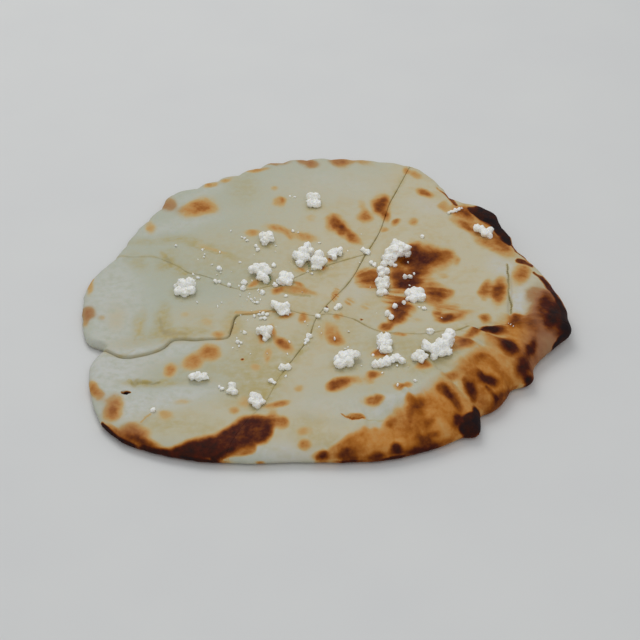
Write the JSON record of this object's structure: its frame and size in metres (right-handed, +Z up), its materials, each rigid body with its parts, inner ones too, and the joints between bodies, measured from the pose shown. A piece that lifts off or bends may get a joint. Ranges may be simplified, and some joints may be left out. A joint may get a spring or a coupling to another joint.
{
  "type": "goat cheese naan",
  "caption": "Round leavened flatbread with a thin pale back, a thick browned front rim, cut into slices that lie together under crumbs of soft white cheese.",
  "frame": {"origin": "middle of the bread's plan, at the height of its flat underside", "axes": "+Z up, +X to the right and +Y to the thin back edge, seen from the thick front rim"},
  "size_m": [0.264, 0.2722, 0.0249],
  "materials": {
    "bread": "baked wheat dough: pale, with toasted blisters and a browned, charred rim, matt with a light sheen of oil",
    "cheese": "soft white curd, moist and matt"
  },
  "bodies": {
    "root": {"slice_back": "bread", "slice_front": "bread", "slice_front_left": "bread", "slice_left": "bread", "slice_right": "bread", "cheese_crumb_01": "cheese", "cheese_crumb_02": "cheese", "cheese_crumb_03": "cheese", "cheese_crumb_04": "cheese", "cheese_crumb_05": "cheese", "cheese_crumb_06": "cheese", "cheese_crumb_07": "cheese", "cheese_crumb_08": "cheese", "cheese_crumb_09": "cheese", "cheese_crumb_10": "cheese", "cheese_crumb_11": "cheese", "cheese_crumb_12": "cheese", "cheese_crumb_13": "cheese", "cheese_crumb_14": "cheese", "cheese_crumb_15": "cheese", "cheese_crumb_16": "cheese", "cheese_crumb_17": "cheese", "cheese_crumb_18": "cheese", "cheese_crumb_19": "cheese", "cheese_crumb_20": "cheese", "cheese_crumb_21": "cheese", "cheese_crumb_22": "cheese", "cheese_crumb_23": "cheese", "cheese_crumb_24": "cheese"}
  },
  "joints": []
}
